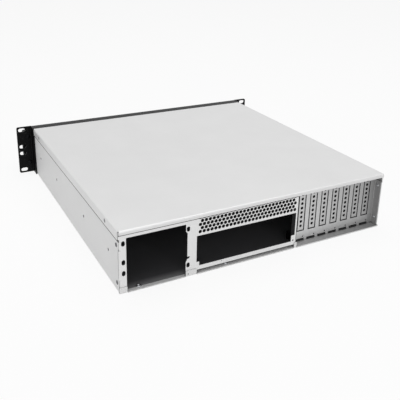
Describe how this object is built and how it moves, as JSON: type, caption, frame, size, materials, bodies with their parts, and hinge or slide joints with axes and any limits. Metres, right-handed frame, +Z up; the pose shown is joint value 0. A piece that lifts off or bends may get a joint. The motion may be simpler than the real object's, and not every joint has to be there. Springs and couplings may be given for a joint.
{
  "type": "empty rackmount server case",
  "caption": "Flat two-unit rack case of folded zinc-coated steel with black front, ears and bow handles; empty rear openings for a power supply, board connectors and cards.",
  "frame": {"origin": "under the middle of the whole case, on the plane its floor rests on", "axes": "+X to the rack's left side seen from behind, +Y to the rear, +Z up"},
  "size_m": [0.4826, 0.488, 0.088],
  "materials": {
    "zinc_steel": "satin",
    "black_paint": "satin",
    "black_plastic": "matte",
    "circuit_board": "satin",
    "green_lens": "gloss",
    "amber_lens": "gloss",
    "bright_steel": "polished",
    "black_screw": "satin"
  },
  "bodies": {
    "case": {"chassis_tray": "zinc_steel", "rear_panel": "zinc_steel", "slot_cover_1": "zinc_steel", "slot_cover_2": "zinc_steel", "slot_cover_3": "zinc_steel", "slot_cover_4": "zinc_steel", "slot_cover_5": "zinc_steel", "slot_cover_6": "zinc_steel", "slot_cover_7": "zinc_steel", "top_cover": "zinc_steel", "front_crossbar": "zinc_steel", "drive_cage": "zinc_steel", "drive_shelf": "zinc_steel", "control_bracket": "zinc_steel", "front_panel": "black_paint", "rack_ear_left": "black_paint", "rack_ear_right": "black_paint", "handle_left": "black_paint", "handle_right": "black_paint", "bay_cover_upper": "black_plastic", "bay_cover_lower": "black_plastic", "power_switch": "black_plastic", "reset_switch": "black_plastic", "switch_board": "circuit_board", "power_lamp": "green_lens", "drive_lamp": "amber_lens", "upper_port": "bright_steel", "lower_port": "bright_steel", "lid_screws": "bright_steel", "slot_screws": "bright_steel", "foot_screws": "bright_steel", "front_screws": "bright_steel", "board_screws": "bright_steel", "side_rivets": "bright_steel", "clinch_nuts": "bright_steel", "ear_screws": "black_screw", "handle_screws": "black_screw", "motherboard_standoffs": "black_screw"},
    "power_key": {"power_button": "black_plastic"},
    "reset_key": {"reset_button": "black_plastic"}
  },
  "joints": [
    {"name": "power_button_press", "type": "slide", "parent": "case", "child": "power_key", "axis": [0, 1, 0], "range_m": [0, 0.0015], "stiffness_N_per_m": 600, "springref_m": -0.0005},
    {"name": "reset_button_press", "type": "slide", "parent": "case", "child": "reset_key", "axis": [0, 1, 0], "range_m": [0, 0.0015], "stiffness_N_per_m": 600, "springref_m": -0.0005}
  ]
}
